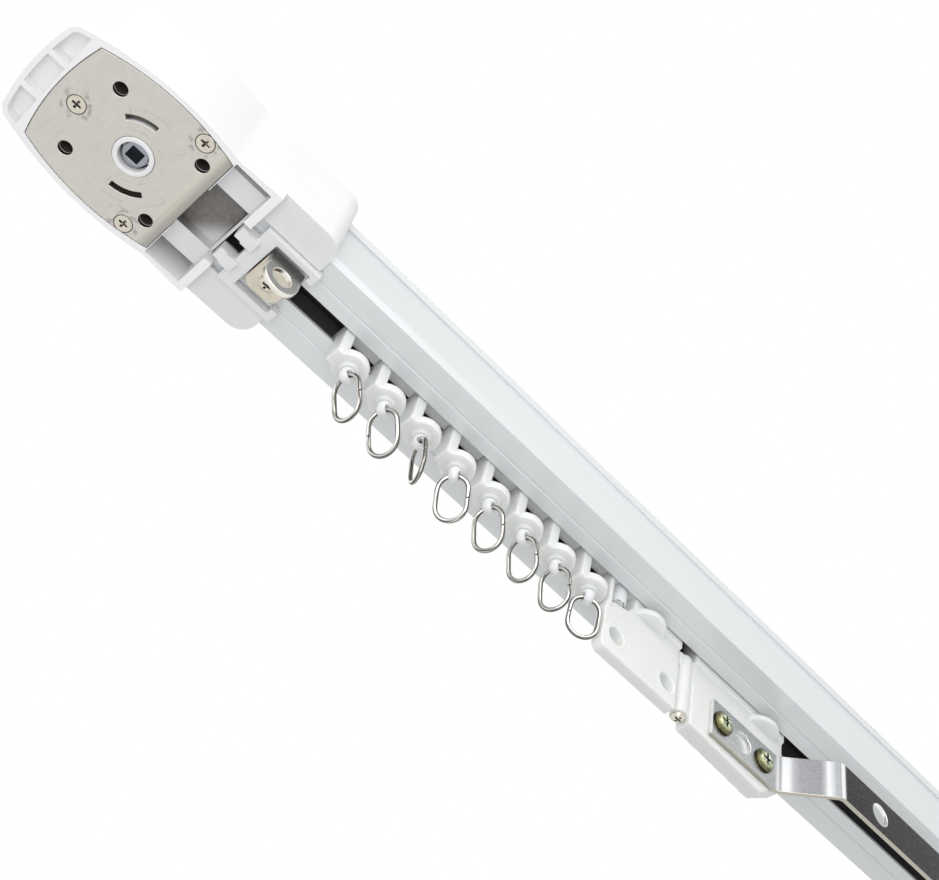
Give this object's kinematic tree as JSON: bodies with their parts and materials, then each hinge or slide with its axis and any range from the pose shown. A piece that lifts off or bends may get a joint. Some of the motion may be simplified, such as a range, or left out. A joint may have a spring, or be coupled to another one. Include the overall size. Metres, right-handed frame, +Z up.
{
  "type": "electric curtain track",
  "caption": "Motor-ready curtain rail: belt drive head with base plate, slotted rail, ring gliders, master carrier with overlap arm and a return unit.",
  "frame": {"origin": "middle of the rail's top face, which lies against the ceiling or its clips", "axes": "+Z up in use, with the slot facing down; +X along the rail from the drive head to the return unit; +Y away from the side with the bracket's tab and the overlap arm"},
  "size_m": [0.6997, 0.051, 0.0573],
  "materials": {
    "rail_aluminium": "white powder coat, fine drawn lines",
    "belt_rubber": "matt black",
    "housing_plastic": "fine satin moulding",
    "plate_steel": "satin nickel",
    "screw_steel": "nickel",
    "arm_screw_zinc": "yellow zinc",
    "bush_plastic": "satin",
    "bearing_steel": "ground",
    "pulley_plastic": "satin",
    "shaft_steel": "blued zinc",
    "clip_plastic": "satin",
    "bracket_nickel": "warm nickel",
    "glider_nylon": "satin translucent nylon",
    "ring_nickel": "bright nickel",
    "arm_zinc": "bright zinc"
  },
  "bodies": {
    "root": {"rail": "rail_aluminium", "drive_belt": "belt_rubber", "gear_housing": "housing_plastic", "base_plate": "plate_steel", "plate_screws": "screw_steel", "hub_bush": "bush_plastic", "bearing_holder": "housing_plastic", "lower_bearing": "bearing_steel", "upper_bearing": "bearing_steel", "lock_clip": "clip_plastic", "lock_bracket": "bracket_nickel", "bracket_screw": "screw_steel", "rail_nut": "screw_steel", "return_housing": "housing_plastic", "return_plate": "plate_steel", "return_screws": "screw_steel", "idler_axle": "bearing_steel"},
    "drive": {"drive_pulley": "pulley_plastic", "drive_shaft": "shaft_steel"},
    "idler": {"idler_pulley": "pulley_plastic"},
    "carrier": {"carrier_front": "glider_nylon", "carrier_rear": "glider_nylon", "carrier_pin": "glider_nylon", "carrier_screw": "screw_steel", "front_axle": "bearing_steel", "rear_axle": "bearing_steel", "belt_clamp": "pulley_plastic", "overlap_arm": "arm_zinc", "arm_screws": "arm_screw_zinc"},
    "front_wheel_pair": {"front_wheels": "glider_nylon"},
    "rear_wheel_pair": {"rear_wheels": "glider_nylon"},
    "glider_body_1": {"glider_1": "glider_nylon"},
    "eye_body_1": {"swivel_eye_1": "glider_nylon"},
    "ring_body_1": {"ring_1": "ring_nickel"},
    "glider_body_2": {"glider_2": "glider_nylon"},
    "eye_body_2": {"swivel_eye_2": "glider_nylon"},
    "ring_body_2": {"ring_2": "ring_nickel"},
    "glider_body_3": {"glider_3": "glider_nylon"},
    "eye_body_3": {"swivel_eye_3": "glider_nylon"},
    "ring_body_3": {"ring_3": "ring_nickel"},
    "glider_body_4": {"glider_4": "glider_nylon"},
    "eye_body_4": {"swivel_eye_4": "glider_nylon"},
    "ring_body_4": {"ring_4": "ring_nickel"},
    "glider_body_5": {"glider_5": "glider_nylon"},
    "eye_body_5": {"swivel_eye_5": "glider_nylon"},
    "ring_body_5": {"ring_5": "ring_nickel"},
    "glider_body_6": {"glider_6": "glider_nylon"},
    "eye_body_6": {"swivel_eye_6": "glider_nylon"},
    "ring_body_6": {"ring_6": "ring_nickel"},
    "glider_body_7": {"glider_7": "glider_nylon"},
    "eye_body_7": {"swivel_eye_7": "glider_nylon"},
    "ring_body_7": {"ring_7": "ring_nickel"},
    "glider_body_8": {"glider_8": "glider_nylon"},
    "eye_body_8": {"swivel_eye_8": "glider_nylon"},
    "ring_body_8": {"ring_8": "ring_nickel"}
  },
  "joints": [
    {"name": "carrier_slide", "type": "slide", "parent": "root", "child": "carrier", "axis": [1, 0, 0], "range_m": [0, 0.2]},
    {"name": "drive_spin", "type": "hinge", "parent": "root", "child": "drive", "pos_m": [-0.3357, 0, -0.0115], "axis": [0, 0, 1], "continuous": true},
    {"name": "idler_spin", "type": "hinge", "parent": "root", "child": "idler", "pos_m": [0.313, 0, -0.0115], "axis": [0, 0, 1], "continuous": true},
    {"name": "front_wheels_roll", "type": "hinge", "parent": "carrier", "child": "front_wheel_pair", "pos_m": [-0.11302, 0, -0.0163], "axis": [0, 1, 0], "continuous": true},
    {"name": "rear_wheels_roll", "type": "hinge", "parent": "carrier", "child": "rear_wheel_pair", "pos_m": [-0.05262, 0, -0.0163], "axis": [0, 1, 0], "continuous": true},
    {"name": "glider_1_slide", "type": "slide", "parent": "root", "child": "glider_body_1", "axis": [1, 0, 0], "range_m": [0, 0.0227]},
    {"name": "eye_1_swivel", "type": "hinge", "parent": "glider_body_1", "child": "eye_body_1", "pos_m": [-0.2485, 0, -0.037], "axis": [0, 0, 1], "continuous": true},
    {"name": "ring_1_swing", "type": "hinge", "parent": "eye_body_1", "child": "ring_body_1", "pos_m": [-0.2485, 0, -0.037], "axis": [-0.1392, 0.9903, 0], "range_deg": [-25, 25]},
    {"name": "glider_2_slide", "type": "slide", "parent": "root", "child": "glider_body_2", "axis": [1, 0, 0], "range_m": [0, 0.0449]},
    {"name": "eye_2_swivel", "type": "hinge", "parent": "glider_body_2", "child": "eye_body_2", "pos_m": [-0.23296, 0, -0.037], "axis": [0, 0, 1], "continuous": true},
    {"name": "ring_2_swing", "type": "hinge", "parent": "eye_body_2", "child": "ring_body_2", "pos_m": [-0.23296, 0, -0.037], "axis": [-0.342, 0.9397, 0], "range_deg": [-25, 25]},
    {"name": "glider_3_slide", "type": "slide", "parent": "root", "child": "glider_body_3", "axis": [1, 0, 0], "range_m": [0, 0.0672]},
    {"name": "eye_3_swivel", "type": "hinge", "parent": "glider_body_3", "child": "eye_body_3", "pos_m": [-0.21742, 0, -0.037], "axis": [0, 0, 1], "continuous": true},
    {"name": "ring_3_swing", "type": "hinge", "parent": "eye_body_3", "child": "ring_body_3", "pos_m": [-0.21742, 0, -0.037], "axis": [0.309, 0.9511, 0], "range_deg": [-10, 25]},
    {"name": "glider_4_slide", "type": "slide", "parent": "root", "child": "glider_body_4", "axis": [1, 0, 0], "range_m": [0, 0.0894]},
    {"name": "eye_4_swivel", "type": "hinge", "parent": "glider_body_4", "child": "eye_body_4", "pos_m": [-0.20188, 0, -0.037], "axis": [0, 0, 1], "continuous": true},
    {"name": "ring_4_swing", "type": "hinge", "parent": "eye_body_4", "child": "ring_body_4", "pos_m": [-0.20188, 0, -0.037], "axis": [-0.5878, 0.809, 0], "range_deg": [-10, 25]},
    {"name": "glider_5_slide", "type": "slide", "parent": "root", "child": "glider_body_5", "axis": [1, 0, 0], "range_m": [0, 0.1116]},
    {"name": "eye_5_swivel", "type": "hinge", "parent": "glider_body_5", "child": "eye_body_5", "pos_m": [-0.18634, 0, -0.037], "axis": [0, 0, 1], "continuous": true},
    {"name": "ring_5_swing", "type": "hinge", "parent": "eye_body_5", "child": "ring_body_5", "pos_m": [-0.18634, 0, -0.037], "axis": [-0.342, 0.9397, 0], "range_deg": [-25, 25]},
    {"name": "glider_6_slide", "type": "slide", "parent": "root", "child": "glider_body_6", "axis": [1, 0, 0], "range_m": [0, 0.1338]},
    {"name": "eye_6_swivel", "type": "hinge", "parent": "glider_body_6", "child": "eye_body_6", "pos_m": [-0.1708, 0, -0.037], "axis": [0, 0, 1], "continuous": true},
    {"name": "ring_6_swing", "type": "hinge", "parent": "eye_body_6", "child": "ring_body_6", "pos_m": [-0.1708, 0, -0.037], "axis": [-0.2756, 0.9613, 0], "range_deg": [-25, 25]},
    {"name": "glider_7_slide", "type": "slide", "parent": "root", "child": "glider_body_7", "axis": [1, 0, 0], "range_m": [0, 0.1561]},
    {"name": "eye_7_swivel", "type": "hinge", "parent": "glider_body_7", "child": "eye_body_7", "pos_m": [-0.15526, 0, -0.037], "axis": [0, 0, 1], "continuous": true},
    {"name": "ring_7_swing", "type": "hinge", "parent": "eye_body_7", "child": "ring_body_7", "pos_m": [-0.15526, 0, -0.037], "axis": [-0.342, 0.9397, 0], "range_deg": [-10, 25]},
    {"name": "glider_8_slide", "type": "slide", "parent": "root", "child": "glider_body_8", "axis": [1, 0, 0], "range_m": [0, 0.1783]},
    {"name": "eye_8_swivel", "type": "hinge", "parent": "glider_body_8", "child": "eye_body_8", "pos_m": [-0.13972, 0, -0.037], "axis": [0, 0, 1], "continuous": true},
    {"name": "ring_8_swing", "type": "hinge", "parent": "eye_body_8", "child": "ring_body_8", "pos_m": [-0.13972, 0, -0.037], "axis": [-0.9063, 0.4226, 0], "range_deg": [-2, 25]}
  ],
  "couplings": [
    {"joint": "drive_spin", "follows": "carrier_slide", "rad_per_m": -104.72},
    {"joint": "idler_spin", "follows": "carrier_slide", "rad_per_m": -104.72},
    {"joint": "front_wheels_roll", "follows": "carrier_slide", "rad_per_m": 208.33},
    {"joint": "rear_wheels_roll", "follows": "carrier_slide", "rad_per_m": 208.33},
    {"joint": "glider_1_slide", "follows": "carrier_slide", "ratio": 0.11111},
    {"joint": "glider_2_slide", "follows": "carrier_slide", "ratio": 0.22222},
    {"joint": "glider_3_slide", "follows": "carrier_slide", "ratio": 0.33333},
    {"joint": "glider_4_slide", "follows": "carrier_slide", "ratio": 0.44444},
    {"joint": "glider_5_slide", "follows": "carrier_slide", "ratio": 0.55556},
    {"joint": "glider_6_slide", "follows": "carrier_slide", "ratio": 0.66667},
    {"joint": "glider_7_slide", "follows": "carrier_slide", "ratio": 0.77778},
    {"joint": "glider_8_slide", "follows": "carrier_slide", "ratio": 0.88889}
  ]
}
